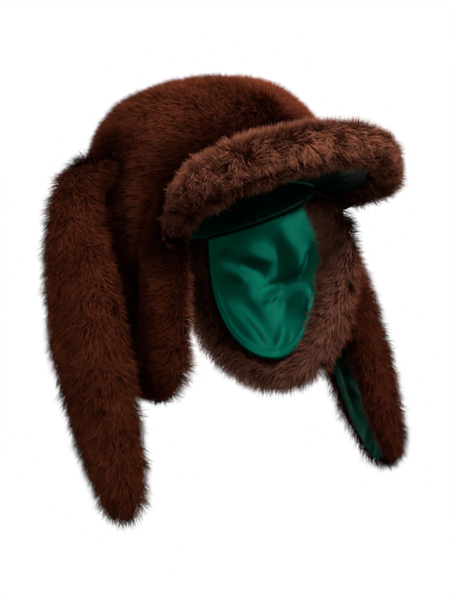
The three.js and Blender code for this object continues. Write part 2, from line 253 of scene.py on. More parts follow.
def makeFurColour():
    # a hair's colour from root to tip. The strand attribute holds the place along it, its chance, its tuft's
    # chance and its painted light: how open its root lies, 0 in a crease between two pieces, times its
    # piece's painted shade
    look = strandLook
    inputs = {"Root": "Color", "Middle": "Color", "Tip": "Color", "Hair variation": "Float",
              "Tuft variation": "Float", "Patch variation": "Float", "Patch scale": "Float",
              "Crease": "Float"}
    group, nodes, links, given, out = newGroup("fur colour", inputs, {"Color": "Color", "Roughness": "Float"})
    strand = placed(nodes, "ShaderNodeAttribute", attribute_name="strand")
    parts = nodes.new("ShaderNodeSeparateColor")
    links.new(strand.outputs["Color"], parts.inputs["Color"])
    along, chance, tuft = (parts.outputs[name] for name in ("Red", "Green", "Blue"))
    # darker at the root: partly the fur's own colour, partly painted shade deep in the pile
    low = blended(nodes, links, ranged(nodes, links, along, *look["middleFrom"]), given.outputs["Root"],
                  given.outputs["Middle"])
    colour = blended(nodes, links, ranged(nodes, links, along, *look["tipFrom"]), low, given.outputs["Tip"])

    place = nodes.new("ShaderNodeTexCoord")
    patches = nodes.new("ShaderNodeTexNoise")
    patches.inputs["Detail"].default_value = 2
    links.new(place.outputs["Object"], patches.inputs["Vector"])
    links.new(given.outputs["Patch scale"], patches.inputs["Scale"])

    def sway(value, amount):  # 1 give or take half the amount
        centred = calculated(nodes, links, "SUBTRACT", value, 0.5)
        return calculated(nodes, links, "MULTIPLY_ADD", centred, amount, 1.0)

    light = calculated(nodes, links, "MULTIPLY", sway(chance, given.outputs["Hair variation"]),
                       sway(tuft, given.outputs["Tuft variation"]))
    slow = ranged(nodes, links, patches.outputs["Fac"], *look["patchStops"])
    light = calculated(nodes, links, "MULTIPLY", light, sway(slow, given.outputs["Patch variation"]))
    # painted shade: darker where the strand's painted light is low, in creases and in shaded parts of a piece
    shut = calculated(nodes, links, "SUBTRACT", 1.0, strand.outputs["Alpha"])
    shade = calculated(nodes, links, "MULTIPLY", shut, given.outputs["Crease"])
    light = calculated(nodes, links, "MULTIPLY", light, calculated(nodes, links, "SUBTRACT", 1.0, shade))
    tone = placed(nodes, "ShaderNodeVectorMath", operation="SCALE")
    links.new(colour, tone.inputs["Vector"])
    links.new(light, tone.inputs["Scale"])
    links.new(tone.outputs["Vector"], out.inputs["Color"])
    links.new(ranged(nodes, links, along, 0.0, 1.0, *look["roughness"]), out.inputs["Roughness"])
    return group


furColour = makeFurColour()


def furMaterial(name, look):
    mat, nodes, links, bsdf = newMaterial(name)
    node = placed(nodes, "ShaderNodeGroup", node_tree=furColour)
    setInputs(node, {socket: (*look[socket.lower()], 1) for socket in ("Root", "Middle", "Tip")})
    setInputs(node, {"Hair variation": look["hairVariation"], "Tuft variation": look["tuftVariation"],
                     "Patch variation": look["patchVariation"], "Patch scale": look["patchScale"],
                     "Crease": look["crease"]})
    links.new(node.outputs["Color"], bsdf.inputs["Base Color"])
    links.new(node.outputs["Roughness"], bsdf.inputs["Roughness"])
    # the fur's own facing, mixed with the blade's, so that blades seen from behind don't go black
    outwards = placed(nodes, "ShaderNodeAttribute", attribute_name="outwards")
    geometry = nodes.new("ShaderNodeNewGeometry")
    turned = placed(nodes, "ShaderNodeMix", data_type="VECTOR")
    turned.inputs["Factor"].default_value = look["bladeShare"]
    ends = [s for s in turned.inputs if s.type == "VECTOR" and s.name in "AB"]
    links.new(outwards.outputs["Vector"], ends[0])
    links.new(geometry.outputs["Normal"], ends[1])
    links.new([s for s in turned.outputs if s.type == "VECTOR"][0], bsdf.inputs["Normal"])
    setInputs(bsdf, {"Specular IOR Level": look["gloss"], "Sheen Weight": look["sheen"],
                     "Sheen Roughness": look["sheenRoughness"], "Sheen Tint": (*look["sheenTint"], 1)})
    return mat


def backingMaterial(look):
    mat, nodes, links, bsdf = newMaterial("fur backing")
    place = nodes.new("ShaderNodeTexCoord").outputs["Object"]
    grain = noiseOf(nodes, links, place, look["grainScale"], look["grainDetail"])
    colour = ramped(nodes, links, grain, look["stops"], (look["dark"], look["light"]))
    links.new(colour, bsdf.inputs["Base Color"])
    links.new(bumped(nodes, links, grain, look["bump"], look["bumpDistance"]), bsdf.inputs["Normal"])
    setInputs(bsdf, {"Roughness": look["roughness"], "Specular IOR Level": look["gloss"]})
    return mat


def satinMaterial(name, look):  # a smooth weave with fine threads, a little deeper in slow patches
    mat, nodes, links, bsdf = newMaterial(name)
    place = nodes.new("ShaderNodeTexCoord").outputs["Object"]
    stretch = nodes.new("ShaderNodeMapping")
    stretch.inputs["Scale"].default_value = look["threadStretch"]
    links.new(place, stretch.inputs["Vector"])
    threads = noiseOf(nodes, links, stretch.outputs["Vector"], look["threadScale"], look["detail"])
    slow = noiseOf(nodes, links, place, look["patchScale"], look["detail"])
    colour = ramped(nodes, links, slow, look["stops"], (look["deep"], look["bright"]))
    links.new(colour, bsdf.inputs["Base Color"])
    rough = ranged(nodes, links, threads, *look["stops"], *look["roughness"])
    links.new(rough, bsdf.inputs["Roughness"])
    links.new(bumped(nodes, links, threads, look["bump"], look["bumpDistance"]), bsdf.inputs["Normal"])
    setInputs(bsdf, {"Metallic": look["metal"], "Specular Tint": (*look["edge"], 1),
                     "Specular IOR Level": look["gloss"]})
    return mat


brown = {
    "root": (0.010, 0.0016, 0.0007),
    "middle": (0.052, 0.0088, 0.0036),
    "tip": (0.130, 0.032, 0.0155),
    "hairVariation": 0.3,
    "tuftVariation": 0.16,
    "patchVariation": 0.3,
    "patchScale": 24,
    # crease: strength of the painted shade where two pieces meet and where a piece is shaded
    "crease": 0.85,  # how much darker the fur is where two pieces meet
    "gloss": 0.0,
    "sheen": 0.05,
    "sheenRoughness": 0.5,
    "sheenTint": (0.6, 0.17, 0.085),
    "bladeShare": 0.5,  # of a hair's own facing in how it takes the light; the rest is the fur's
}
# painted light: a lighter copy of the brown, with less crease shade, for the flaps' sides that face the head
litBrown = dict(brown, middle=(0.130, 0.041, 0.0260), tip=(0.360, 0.140, 0.090), crease=0.6)
# the peak's fur: paler, partly its own colour and partly painted light for its lit top
lightestBrown = dict(brown, root=(0.020, 0.0045, 0.0024), middle=(0.105, 0.027, 0.0145),
                     tip=(0.400, 0.140, 0.080), tuftVariation=0.35, crease=1)
cloth = {  # dark, under the hairs
    "dark": brown["root"],
    "light": brown["middle"],
    "stops": (0.35, 0.8),
    "grainScale": 500,
    "grainDetail": 3,
    "bump": 0.6,
    "bumpDistance": 0.001,
    "roughness": 0.95,
    "gloss": 0.1,
}
green = {
    "bright": (0.0, 0.285, 0.183),
    "deep": (0.0, 0.180, 0.115),
    "stops": (0.3, 0.7),
    "metal": 0.75,
    "edge": (0.1, 0.8, 0.55),  # colour of the sheen at a grazing angle
    "gloss": 0.5,
    "roughness": (0.28, 0.36),
    "threadScale": 1100,
    "threadStretch": (1, 1, 0.1),
    "patchScale": 26,
    "detail": 2,
    "bump": 0.05,
    "bumpDistance": 0.0003,
}
# painted shade: a darker copy of the green for the satin in the crown and the ears
shadedGreen = dict(green, bright=(0.0, 0.026, 0.016), deep=(0.0, 0.012, 0.0075))  # in the crown and the ears
# painted shade: a darker copy of the green, with a darker sheen at grazing angles, for the satin under the
# peak
shadedPeakGreen = dict(green, bright=(0.0, 0.022, 0.014), deep=(0.0, 0.012, 0.008), edge=(0.0, 0.40, 0.27),
                 gloss=0.3)  # under the peak

pile = furMaterial("brown fur", brown)
litPile = furMaterial("brown fur with painted light", litBrown)
lightestPile = furMaterial("lightest brown fur", lightestBrown)
backing = backingMaterial(cloth)
satin = satinMaterial("green satin", green)
shadedPeakSatin = satinMaterial("green satin shaded under the peak", shadedPeakGreen)
shadedSatin = satinMaterial("shaded green satin", shadedGreen)
print("materials ready")

# Satin. Each lining is a grid bent to the shape of its piece, in metres, with its folds pressed into it.

head = {  # the inside of the lining, and where the crown's seams run
    "halfWidth": 0.084,
    "halfLength": 0.101,
    "height": 0.127,
    "planPower": 2.3,
    "shoulderPower": 3.1,
    "rimHeight": 0.025,
    "rimRise": 0.27,
    "seamAt": 0.045,  # metres from the middle, in the fur and in the lining
}


def rimZ(y):
    return head["rimHeight"] - head["rimRise"] * y


def onDome(start, along, offset):  # where a ray from inside meets the dome, so far outside the satin
    sizes = Vector((head["halfWidth"], head["halfLength"], head["height"])) + Vector([offset] * 3)
    plan, shoulder = head["planPower"], head["shoulderPower"]
    near, far, halvings = 0.0, 0.3, 26
    for _ in range(halvings):
        middle = (near + far) / 2
        x, y, z = (abs(p) / size for p, size in zip(start + middle * along, sizes))
        if (x**plan + y**plan) ** (shoulder / plan) + z**shoulder < 1:
            near = middle
        else:
            far = middle
    return start + near * along


def foldHeight(folds, x, y, size):
    # ridges, and hollows with a minus, along lines that fade at their ends; size: metres for 1 of x and of y
    height = 0
    endLoss = 0.6  # share of a fold's height that is gone at its ends
    here = Vector((x * size[0], y * size[1]))
    for fold in folds:
        start, end = (Vector((fold[name][0] * size[0], fold[name][1] * size[1])) for name in ("from", "to"))
        way = end - start
        share = min(max((here - start).dot(way) / way.length_squared, 0), 1)
        far = (here - start - share * way).length / fold["wide"]
        fade = 1 - endLoss * abs(2 * share - 1) ** 3
        height += fold["high"] * fade * math.exp(-far * far)
    return height


def edgeRoll(m, edge):  # a sewn edge: a groove, then a narrow roll
    groove = -edge["groove"] * math.exp(-(((m - edge["grooveAt"]) / edge["wide"]) ** 2))
    return groove + edge["roll"] * math.exp(-(((m - edge["rollAt"]) / edge["wide"]) ** 2))


satinThickness = 0.0012


def makeSatin(name, nodeName, look, place, material):
    # place() turns the grid's a and b, each from -1 to 1, into a point; "seenFrom" is on the side that shows
    bm = bmesh.new()
    bmesh.ops.create_grid(bm, x_segments=look["segments"][0], y_segments=look["segments"][1], size=1)
    for vert in bm.verts:
        vert.co = place(vert.co.x, vert.co.y)
    bm.normal_update()
    turned = sum((Vector(look["seenFrom"]) - f.calc_center_median()).dot(f.normal) < 0 for f in bm.faces)
    if turned > len(bm.faces) / 2:
        bmesh.ops.reverse_faces(bm, faces=bm.faces[:])
    for face in bm.faces:
        face.smooth = True
    obj = linked(name, meshOf(bm, name))
    wall = obj.modifiers.new("thickness", "SOLIDIFY")
    wall.thickness = satinThickness
    wall.offset = -1
    obj.data.materials.append(material)
    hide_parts(nodeName)
    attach(obj, "root")


crownLining = {
    "segments": (64, 64),
    "seenFrom": (0, 0, 0.02),
    "flat": (0.33, 0.37),
    "area": 0.0676,
    "seamDepth": 0.0012,
    "seamWidth": 0.0022,
    "puckers": 26,
    "puckerHeight": 0.0004,
    "puckerFade": 10,  # power: they lie at the rim alone
    "rimGroove": 0.0006,
    "rimGrooveAt": (0.93, 0.99),  # share of the way from the top to the rim
}


def makeCrownLining():
    look = crownLining
    start = Vector((0, 0, head["rimHeight"]))
    up = Vector((0, head["rimRise"], 1)).normalized()
    back = Vector((0, 1, -head["rimRise"])).normalized()

    def place(a, b):
        m = max(abs(a), abs(b))
        turn = math.atan2(a, b)
        out = back * math.cos(turn) + Vector((1, 0, 0)) * math.sin(turn)
        rise = (1 - m) * math.pi / 2
        along = out * math.cos(rise) + up * math.sin(rise)
        plain = onDome(start, along, 0)
        seam = math.exp(-(((abs(plain.x) - head["seamAt"]) / look["seamWidth"]) ** 2))
        pucker = math.sin(look["puckers"] * turn + 2 * math.sin(5 * turn)) * m ** look["puckerFade"]
        groove = look["rimGroove"] * smoothStep(*look["rimGrooveAt"], m)
        return onDome(start, along, look["seamDepth"] * seam + look["puckerHeight"] * pucker + groove)

    makeSatin("crown_lining_satin", "crown_lining", look, place, shadedSatin)


flapLining = {
    "middle": 0.014,
    "turnRadius": 0.0926,
    "halfWidth": 0.068,
    "bottom": -0.113,
    "uPower": 2.4,
    "flare": 0.16,
    "flareStart": 0.28,
    "splay": 0.04,
    "sway": {"right": 0.056, "left": 0.0},  # how far the lower end hangs towards the face
    "hangPower": 2,
    "lift": {"right": 0.007, "left": 0.0},  # how much higher the lower end is
    "drop": 0.0006,  # of the whole panel, so that its top edge clears the crown
    "segments": (76, 60),
    "seenFrom": (0, 0.01, -0.04),
    "flat": (0.142, 0.146),
    "area": 0.0165,
    "proud": 0.0012,  # how far the satin lies over the fur's floor
    "tuck": 0.0022,  # how far its edge goes down into the fur
    "edge": {"groove": 0.0013, "grooveAt": 0.945, "roll": 0.0005, "rollAt": 0.975, "wide": 0.016},
    "foldSize": (1, 0.138),
    "foldEnd": (0.86, 0.96),  # share of the way to the edge where the folds run out
}
# Folds as the far flap has them. x: metres behind the panel's middle; y: share of the way down
flapFolds = [
    {"from": (0.034, 0.26), "to": (0.000, 0.40), "wide": 0.0075, "high": 0.0022},
    {"from": (0.030, 0.20), "to": (-0.010, 0.29), "wide": 0.0090, "high": -0.0024},
    {"from": (-0.018, 0.08), "to": (-0.042, 0.40), "wide": 0.0140, "high": -0.0030},
    {"from": (-0.054, 0.28), "to": (-0.046, 0.46), "wide": 0.0060, "high": 0.0020},
    {"from": (0.012, 0.50), "to": (-0.052, 0.455), "wide": 0.0070, "high": 0.0034},
    {"from": (0.002, 0.575), "to": (-0.020, 0.505), "wide": 0.0036, "high": -0.0026},
    {"from": (-0.046, 0.55), "to": (-0.052, 0.68), "wide": 0.0060, "high": -0.0040},
    {"from": (0.048, 0.60), "to": (0.008, 0.90), "wide": 0.0085, "high": -0.0020},
    {"from": (0.036, 0.54), "to": (-0.008, 0.90), "wide": 0.0095, "high": 0.0018},
    {"from": (-0.030, 0.60), "to": (-0.020, 0.72), "wide": 0.0080, "high": 0.0018},
    {"from": (-0.018, 0.78), "to": (-0.011, 0.90), "wide": 0.0032, "high": -0.0018},
    {"from": (-0.029, 0.82), "to": (-0.023, 0.91), "wide": 0.0030, "high": -0.0014},
    {"from": (0.052, 0.28), "to": (0.027, 0.40), "wide": 0.0070, "high": -0.0020},
    {"from": (0.055, 0.15), "to": (0.042, 0.26), "wide": 0.0080, "high": 0.0018},
]


def alongHead(turn, spread):
    width, length, power = head["halfWidth"] + spread, head["halfLength"] + spread, head["planPower"]
    plan = abs(math.cos(turn) / width) ** power + abs(math.sin(turn) / length) ** power
    radius = plan ** (-1 / power)
    return radius * math.cos(turn), radius * math.sin(turn)


def onFlap(side, across, low, height):
    # across: metres behind the panel's middle; low: share of the way down; height: outwards from the satin
    look = flapLining
    across += look["middle"] - look["sway"][side] * low ** look["hangPower"]
    bottom = look["bottom"] + look["lift"][side]
    spread = height - look["splay"] * low * look["bottom"]
    bent = alongHead(across / look["turnRadius"], spread)
    straight = (head["halfWidth"] + spread - look["flare"] * across, across)
    flared = smoothStep(0, look["flareStart"], low) if across < 0 else 0
    x, y = mix(bent[0], straight[0], flared), mix(bent[1], straight[1], flared)
    return Vector((x if side == "left" else -x, y, mix(rimZ(y), bottom, low) - look["drop"]))


def makeFlapLining(side):
    look = flapLining

    def place(a, b):
        b = (b + 1) / 2
        m = max(abs(a), b)
        reach = (abs(a) ** look["uPower"] + b ** look["uPower"]) ** (1 / look["uPower"])
        r = m / reach if reach else 0
        across, low = a * r * look["halfWidth"], b * r
        fold = foldHeight(flapFolds, across, low, look["foldSize"]) * (1 - smoothStep(*look["foldEnd"], m))
        proud = look["proud"] - look["tuck"] * smoothStep(look["foldEnd"][1], 1, m)
        return onFlap(side, across, low, -proud - fold - edgeRoll(m, look["edge"]))

    makeSatin("flap_lining_satin_" + side, "flap_lining_" + side, look, place, satin)


makeCrownLining()
for side in ("right", "left"):
    makeFlapLining(side)
print("crown and flap linings ready")

# The centre line and half sizes of an ear, from its root to its tip
earRows = [
    {"out": 0.088, "back": 0.018, "up": 0.067, "wide": 0.021, "thick": 0.020},
    {"out": 0.108, "back": 0.016, "up": 0.065, "wide": 0.023, "thick": 0.022},
    {"out": 0.130, "back": 0.016, "up": 0.053, "wide": 0.025, "thick": 0.025},
    {"out": 0.143, "back": 0.010, "up": 0.026, "wide": 0.028, "thick": 0.027},
    {"out": 0.149, "back": -0.001, "up": -0.010, "wide": 0.036, "thick": 0.028},
    {"out": 0.153, "back": -0.015, "up": -0.048, "wide": 0.044, "thick": 0.028},
    {"out": 0.155, "back": -0.028, "up": -0.088, "wide": 0.045, "thick": 0.028},
    {"out": 0.155, "back": -0.044, "up": -0.128, "wide": 0.044, "thick": 0.027},
    {"out": 0.155, "back": -0.060, "up": -0.168, "wide": 0.038, "thick": 0.025},
    {"out": 0.156, "back": -0.073, "up": -0.197, "wide": 0.031, "thick": 0.022},
    {"out": 0.156, "back": -0.080, "up": -0.216, "wide": 0.023, "thick": 0.017},
    {"out": 0.156, "back": -0.083, "up": -0.226, "wide": 0.012, "thick": 0.010},
]
earLining = {
    "lift": {"right": 0.004, "left": 0.016},  # how much higher the ear's end hangs
    "from": 7 / 22,
    "to": 20 / 22,
    "middle": 0.20,  # across the ear, as a share of its half width
    "halfWidth": 0.345,
    "depth": 0.60,  # of the channel's middle, as a share of the half thickness
    "hollow": 0.05,  # how much less deep its edges are
    "lock": 0.006,  # how far the fur's locks stand out of its body
    "proud": 0.0022,
    "hem": {"high": 0.0012, "at": 0.95, "wide": 0.06},
    "ends": {"narrower": 0.3, "long": 0.05},  # shares of the width and of the length
    "foldEnd": (0.75, 1.0),
    "segments": (14, 96),
    "seenFrom": (0, -0.02, -0.08),
    "flat": (0.028, 0.245),
    "area": 0.0062,
    "foldSize": (0.016, 0.2),
}
# Folds over the channel. x: share of its half width; y: share of its length
earFolds = [
    {"from": (-0.9, 0.10), "to": (0.5, 0.16), "wide": 0.0060, "high": 0.0016},
    {"from": (-0.6, 0.27), "to": (0.8, 0.22), "wide": 0.0050, "high": -0.0016},
    {"from": (-0.8, 0.40), "to": (0.6, 0.47), "wide": 0.0056, "high": 0.0019},
    {"from": (0.1, 0.52), "to": (0.3, 0.68), "wide": 0.0040, "high": 0.0015},
    {"from": (-0.7, 0.62), "to": (0.2, 0.58), "wide": 0.0045, "high": -0.0017},
    {"from": (-0.8, 0.76), "to": (0.8, 0.82), "wide": 0.0052, "high": 0.0017},
    {"from": (-0.3, 0.88), "to": (0.6, 0.92), "wide": 0.0036, "high": -0.0013},
]


def earMiddle(side, t):
    sign = 1 if side == "left" else -1
    up = column(earRows, "up", t) + earLining["lift"][side] * t**3
    return Vector((sign * column(earRows, "out", t), column(earRows, "back", t), up))


def makeEarLining(side):
    look = earLining
    ends, hem = look["ends"], look["hem"]

    def place(a, b):
        share = (1 - b) / 2
        t = mix(look["from"], look["to"], share)
        along = (earMiddle(side, t + 0.01) - earMiddle(side, t - 0.01)).normalized()
        across = (Vector((0, 1, 0)) - along.y * along).normalized()
        off = along.cross(across) * (1 if side == "left" else -1)
        wide = column(earRows, "wide", t) - look["lock"]
        thick = column(earRows, "thick", t) - look["lock"]
        full = smoothStep(0.0, ends["long"], share) * smoothStep(1.0, 1 - ends["long"], share)
        s = look["middle"] + look["halfWidth"] * a * (1 - ends["narrower"] * (1 - full))
        fold = foldHeight(earFolds, a, share, look["foldSize"]) * (1 - smoothStep(*look["foldEnd"], abs(a)))
        roll = hem["high"] * math.exp(-(((abs(a) - hem["at"]) / hem["wide"]) ** 2))
        depth = (look["depth"] - look["hollow"] * a * a) * thick + look["proud"] + fold + roll
        return earMiddle(side, t) + across * s * wide - off * depth

    makeSatin("ear_lining_satin_" + side, "ear_lining_" + side, look, place, shadedSatin)


# The peak. turn: degrees from the middle of the brow, + to the wearer's left
peakRows = [
    {"turn": -57, "reach": 0.020, "edge": 0.018, "roll": 0.7},
    {"turn": -52, "reach": 0.033, "edge": 0.024, "roll": 1.05},
    {"turn": -45, "reach": 0.046, "edge": 0.037, "roll": 1.2},
    {"turn": -35, "reach": 0.058, "edge": 0.053, "roll": 1.12},
    {"turn": -18, "reach": 0.066, "edge": 0.069, "roll": 1.05},
    {"turn": 0, "reach": 0.068, "edge": 0.076, "roll": 1},
    {"turn": 17, "reach": 0.060, "edge": 0.071, "roll": 1},
    {"turn": 33, "reach": 0.049, "edge": 0.058, "roll": 1},
    {"turn": 46, "reach": 0.034, "edge": 0.048, "roll": 1},
    {"turn": 56, "reach": 0.018, "edge": 0.042, "roll": 0.75},
]
peakFacing = {
    "from": 1 / 20,
    "to": 19 / 20,
    "face": -0.002,  # the fur's underside, from the line between root and edge
    "furInside": 0.0036,
    "gap": 0.0003,
    "start": 0.01,  # share of the reach
    "hem": 0.008,  # how far the satin stops short of the edge, at full roll
    "gathers": 17,
    "gatherHeight": 0.0006,
    "gatherFrom": 0.12,  # share of the reach; they fade towards the edge
    "gatherFade": 1.3,
    "proud": 0.0016,
    "segments": (96, 18),
    "seenFrom": (0, -0.14, -0.1),
    "flat": (0.225, 0.070),
    "area": 0.0134,
}


def makePeakFacing():
    look = peakFacing

    def place(a, b):
        t = mix(look["from"], look["to"], (a + 1) / 2)
        share = (b + 1) / 2
        turn = math.radians(column(peakRows, "turn", t))
        out = Vector((math.sin(turn), -math.cos(turn), 0))
        root = onDome(Vector((0, 0, 0)), out, look["furInside"])
        root.z = rimZ(root.y) - look["face"] + look["gap"]
        reach = column(peakRows, "reach", t)
        slope = math.atan2(column(peakRows, "edge", t) - root.z, reach)
        way = out * math.cos(slope) + Vector((0, 0, math.sin(slope)))
        normal = -out * math.sin(slope) + Vector((0, 0, math.cos(slope)))
        whole = reach / math.cos(slope)
        far = mix(look["start"] * whole, whole - look["hem"] * column(peakRows, "roll", t), share)
        uneven = 2.2 * math.sin(9 * t) + 1.5 * share
        wave = math.sin(look["gathers"] * math.tau * t + uneven)
        fade = (1 - share) ** look["gatherFade"] * smoothStep(0, look["gatherFrom"], share)
        gather = look["gatherHeight"] * wave * fade
        return root + way * far + normal * (look["face"] - look["proud"] - gather)

    makeSatin("peak_facing_satin", "peak_facing", look, place, shadedPeakSatin)


for side in ("right", "left"):
    makeEarLining(side)
makePeakFacing()
print("ear and peak linings ready")

# Fur. Each piece has a smooth skin a little inside its CAD solid, with flat tapering hairs set in it.

satinNodes = ["crown_lining", "peak_facing", "flap_lining_right", "flap_lining_left",
              "ear_lining_right", "ear_lining_left"]


def treeOf(names):
    corners, faces = [], []
    for name in names:
        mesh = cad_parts[name].data
        start = len(corners)
        corners.extend(v.co.copy() for v in mesh.vertices)
        faces.extend([start + v for v in p.vertices] for p in mesh.polygons)
    return BVHTree.FromPolygons(corners, faces)


satinTree = treeOf(satinNodes)


def skinOf(name, nodeNames, look):
    bm = bmesh.new()
    for nodeName in nodeNames:
        bm.from_mesh(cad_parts[nodeName].data)
    bmesh.ops.remove_doubles(bm, verts=bm.verts, dist=1e-5)
    rough = linked(name + "_rough", meshOf(bm, name + "_rough"))
    remesh = rough.modifiers.new("voxels", "REMESH")
    remesh.mode = "VOXEL"
    remesh.voxel_size = look["voxel"]
    smooth = rough.modifiers.new("smooth", "SMOOTH")
    smooth.factor = look["smoothFactor"]
    smooth.iterations = look["smoothing"]
    bpy.context.view_layer.update()
    mesh = bpy.data.meshes.new_from_object(rough.evaluated_get(bpy.context.evaluated_depsgraph_get()))
    bpy.data.objects.remove(rough)
    mesh.name = name + "_skin"
    return mesh


def openFaces(mesh, nodeNames, clear):
    # 1 for each face with nothing of another piece right in front of it, 0 for the rest
    tree = treeOf([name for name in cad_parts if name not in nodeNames])
    blocked = [tree.ray_cast(face.center, face.normal, clear)[0] is not None for face in mesh.polygons]
    return 1.0 - np.array(blocked, float)


def readVertices(mesh, what):
    values = np.empty(len(mesh.vertices) * 3, np.float32)
    mesh.vertices.foreach_get(what, values)
    return values.reshape(-1, 3).astype(float)


def readWhole(items, what, size=1):
    values = np.empty(len(items) * size, np.int32)
    items.foreach_get(what, values)
    return values


def roundVertices(mesh, faceValues):  # the mean of the faces round each vertex
    corners, sizes = readWhole(mesh.loops, "vertex_index"), readWhole(mesh.polygons, "loop_total")
    count = len(mesh.vertices)
    total = np.bincount(corners, np.repeat(faceValues, sizes), count)
    return total / np.maximum(np.bincount(corners, minlength=count), 1)


def leastOfFaces(mesh, vertexValues):  # the least of the corners of each face
    return np.minimum.reduceat(vertexValues[readWhole(mesh.loops, "vertex_index")],
                               readWhole(mesh.polygons, "loop_start"))


def sinkSkin(mesh, free, look):
    # makes room for the pile where the skin is open, and less where the piece is thin
    behind, farthest = 0.0005, 0.1  # where the measuring ray starts and how long it is
    faces = [list(face.vertices) for face in mesh.polygons]
    tree = BVHTree.FromPolygons([v.co.copy() for v in mesh.vertices], faces)
    places, normals = readVertices(mesh, "co"), readVertices(mesh, "normal")
    share = roundVertices(mesh, free)
    for i in np.nonzero(share)[0]:
        place, inward = Vector(places[i]), -Vector(normals[i])
        hit = tree.ray_cast(place + inward * behind, inward, farthest)
        room = look["thinShare"] * hit[3] if hit[0] is not None else look["sink"]
        places[i] += np.array(inward) * min(look["sink"], room) * share[i]
    mesh.vertices.foreach_set("co", places.astype(np.float32).reshape(-1))
    mesh.update()


def sampleRoots(mesh, weights, values, density, rng):
    # places and normals spread evenly over the skin, with the values of its vertices there
    mesh.calc_loop_triangles()
    corner = readWhole(mesh.loop_triangles, "vertices", 3).reshape(-1, 3)
    owner = readWhole(mesh.loop_triangles, "polygon_index")
    places, normals = readVertices(mesh, "co"), readVertices(mesh, "normal")
    a, b, c = (places[corner[:, k]] for k in range(3))
    area = 0.5 * np.linalg.norm(np.cross(b - a, c - a), axis=1) * weights[owner]
    count = int(density * area.sum())
    picked = np.searchsorted(np.cumsum(area) / area.sum(), rng.random(count))
    u, v = rng.random((2, count))
    folded = u + v > 1
    u, v = np.where(folded, 1 - u, u), np.where(folded, 1 - v, v)
    at = corner[np.minimum(picked, len(area) - 1)]
    shares = np.stack([1 - u - v, u, v], 1)
    root = (places[at] * shares[:, :, None]).sum(1)
    turned = unit((normals[at] * shares[:, :, None]).sum(1))
    return root, turned, *((value[at] * shares).sum(1) for value in values)


def hashed(cells, salt):  # an even chance for each cell, from 0 to 1, the same in every run
    mixed = cells @ np.array([73856093, 19349663, 83492791], np.int64) + salt * 2654435761
    mixed = (mixed ^ (mixed >> 13)) * 1274126177 & 0x7FFFFFFF
    return (mixed ^ (mixed >> 16)) % 10007 / 10007


def nearestTuft(points, size, seed):
    # the middle and the number of the tuft that each hair belongs to
    cells = np.floor(points / size).astype(np.int64)
    best = np.full(len(points), np.inf)
    middle = np.zeros_like(points)
    number = np.zeros(len(points))
    for offset in np.ndindex(3, 3, 3):
        cell = cells + np.array(offset) - 1
        spot = (cell + np.stack([hashed(cell, seed + k) for k in range(3)], 1)) * size
        away = ((points - spot) ** 2).sum(1)
        nearer = away < best
        best[nearer], middle[nearer] = away[nearer], spot[nearer]
        number[nearer] = hashed(cell, seed + 7)[nearer]
    return middle, number


def drift(points, size, seed):  # a slow wandering of the hair's direction
    turns = points @ np.array([[1.0, 0.6, -0.4], [-0.5, 1.1, 0.7], [0.8, -0.6, 1.0]]) * (math.tau / size)
    return np.sin(turns + seed) + 0.6 * np.sin(1.9 * turns[:, ::-1] + 2.1 * seed)


def growHairs(roots, normals, comb, reach, look, layer, rng):
    # root, bend and tip of each hair, and its tuft's number
    count = len(roots)
    middle, tuft = nearestTuft(roots, look["tuft"], look["seed"])
    turn = tuft[:, None] * 44.0 + np.array([0, 2.1, 4.2])  # three unlike waves of the tuft's chance
    stray = np.sin(turn) * look["tuftSway"] + drift(roots, look["driftSize"], look["seed"]) * look["drift"]
    stray += rng.normal(0, look["hairSway"], (count, 3))
    length = look["length"] * layer["length"] * (1 + look["lengthSpread"] * (rng.random(count) - 0.5))
    length *= (1 + look["tuftSpread"] * (tuft - 0.5)) * reach
    lift = np.clip(look["lift"] + rng.normal(0, look["liftSpread"], count), 0.05, 1)[:, None]
    tipLift = lift * look["stiffness"]
    first = unit(normals * lift + comb * (1 - lift) + stray * 0.5)
    second = unit(normals * tipLift + comb * (1 - tipLift) + stray)
    gather = middle - roots
    gather = (gather - (gather * normals).sum(1, keepdims=True) * normals) * look["gather"]
    half = 0.5 * length[:, None]
    bend = roots + first * half + gather * look["bendGather"]
    tip = bend + second * half + gather * (1 - look["bendGather"])
    return roots, bend, tip, tuft


blade = {
    "widthSpread": 0.5,  # share of the width between the narrowest and the widest
    "spin": 0.5,  # how far blades turn about their length, in radians
    "bendWidth": 0.8,  # share of the root's width
    "facing": 0.3,  # share of the blade's own facing in the facing that it is given
    "facingSpread": 0.06,
    "cell": {"left": 0.15, "right": 0.85, "root": 0.1, "bend": 0.5, "tip": 0.92},  # of the map
}


def bladesOf(points, normals, wide, bent, rng):
    # corners, faces, heights, map cells and facing of flat tapering blades
    root, bend, tip = points
    along = unit(tip - root)
    side = unit(np.cross(along, normals))
    spin = rng.normal(0, blade["spin"], len(root))[:, None]
    side = side * np.cos(spin) + np.cross(along, side) * np.sin(spin)
    half = 0.5 * wide * (1 + blade["widthSpread"] * (rng.random(len(root)) - 0.5))[:, None]
    back = ((np.cross(side, along) * normals).sum(1) < 0)[:, None]
    side = np.where(back, -side, side)
    cell = blade["cell"]
    base = [root - side * half, root + side * half]
    baseCell = [[cell["left"], cell["root"]], [cell["right"], cell["root"]]]
    tipCell = [0.5, cell["tip"]]
    if bent:
        inset = side * half * blade["bendWidth"]
        rows = [*base, bend + inset, bend - inset, tip]
        faces, heights = [[0, 1, 2, 3], [3, 2, 4]], [0, 0, 0.5, 0.5, 1]
        cells = [*baseCell, [cell["right"], cell["bend"]], [cell["left"], cell["bend"]], tipCell]
    else:
        rows, faces, heights, cells = [*base, tip], [[0, 1, 2]], [0, 0, 1], [*baseCell, tipCell]
    return np.stack(rows, 1), faces, np.array(heights), np.array(cells), np.cross(side, along)


